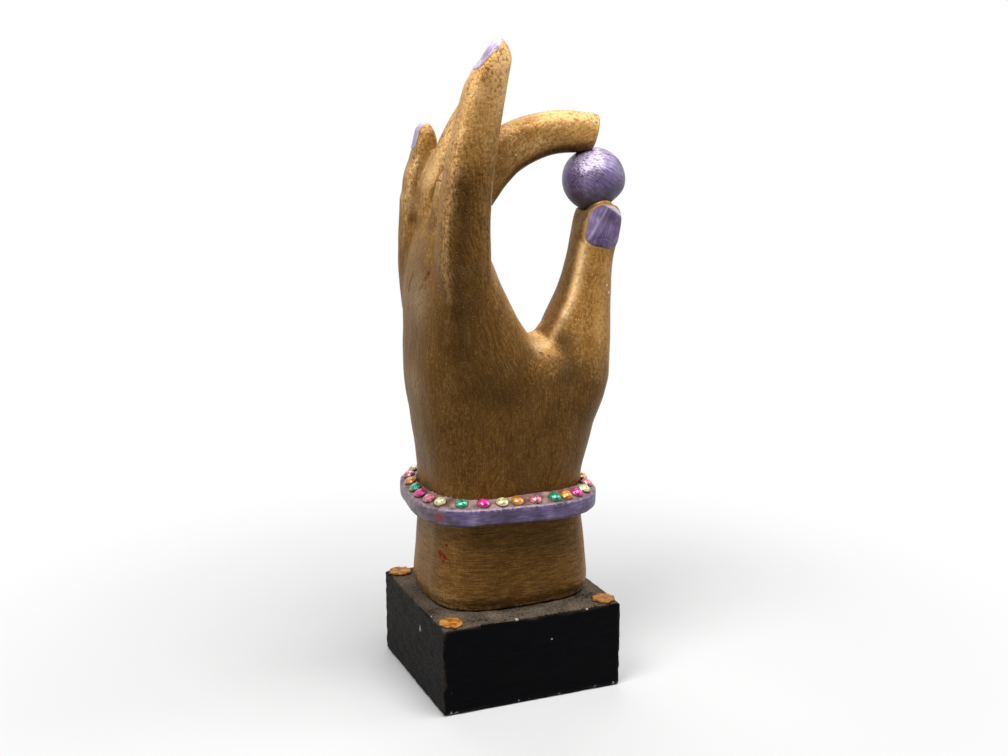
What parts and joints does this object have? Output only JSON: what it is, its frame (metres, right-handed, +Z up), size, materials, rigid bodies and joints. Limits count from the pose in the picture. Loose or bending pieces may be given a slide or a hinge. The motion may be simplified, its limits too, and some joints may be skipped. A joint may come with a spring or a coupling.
{
  "type": "hand sculpture",
  "caption": "Carved, painted wooden hand standing upright on a block, its thumb and bent middle finger holding a ball, with a gem-set bracelet round the wrist.",
  "frame": {"origin": "centre of the block's underside", "axes": "+Z up along the fingers, +X the way the palm faces, -Y the side of the first finger and thumb nail"},
  "size_m": [0.1021, 0.0838, 0.2959],
  "materials": {
    "gold_paint": "wood under brushed antique gold paint with brown patina",
    "violet_paint": "wood under pearly violet paint",
    "black_paint": "wood under worn black paint",
    "gilding": "carved flower under orange-gold paint",
    "bare_wood": "bare hardwood dowel",
    "gem_green": "faceted, clear glossy",
    "gem_magenta": "faceted, clear glossy",
    "gem_rose": "faceted, clear glossy",
    "gem_pale": "faceted, clear glossy",
    "gem_amber": "faceted, clear glossy"
  },
  "bodies": {
    "root": {"base_block": "black_paint", "hand_carving": "gold_paint", "curled_finger": "gold_paint", "ball": "violet_paint", "bracelet": "violet_paint", "base_dowel_left": "bare_wood", "base_dowel_right": "bare_wood", "finger_dowel": "bare_wood", "ball_pin": "bare_wood", "corner_flower_front_left": "gilding", "corner_flower_front_right": "gilding", "corner_flower_back_left": "gilding", "corner_flower_back_right": "gilding", "gem_01": "gem_green", "gem_02": "gem_magenta", "gem_03": "gem_rose", "gem_04": "gem_pale", "gem_05": "gem_green", "gem_06": "gem_magenta", "gem_07": "gem_pale", "gem_08": "gem_amber", "gem_09": "gem_rose", "gem_10": "gem_green", "gem_11": "gem_amber", "gem_12": "gem_magenta", "gem_13": "gem_pale", "gem_14": "gem_rose", "gem_15": "gem_amber", "gem_16": "gem_green", "gem_17": "gem_magenta", "gem_18": "gem_rose", "gem_19": "gem_pale", "gem_20": "gem_green", "gem_21": "gem_magenta", "gem_22": "gem_pale", "gem_23": "gem_amber", "gem_24": "gem_rose", "gem_25": "gem_green", "gem_26": "gem_amber", "gem_27": "gem_magenta", "gem_28": "gem_pale", "gem_29": "gem_rose", "gem_30": "gem_amber"}
  },
  "joints": []
}
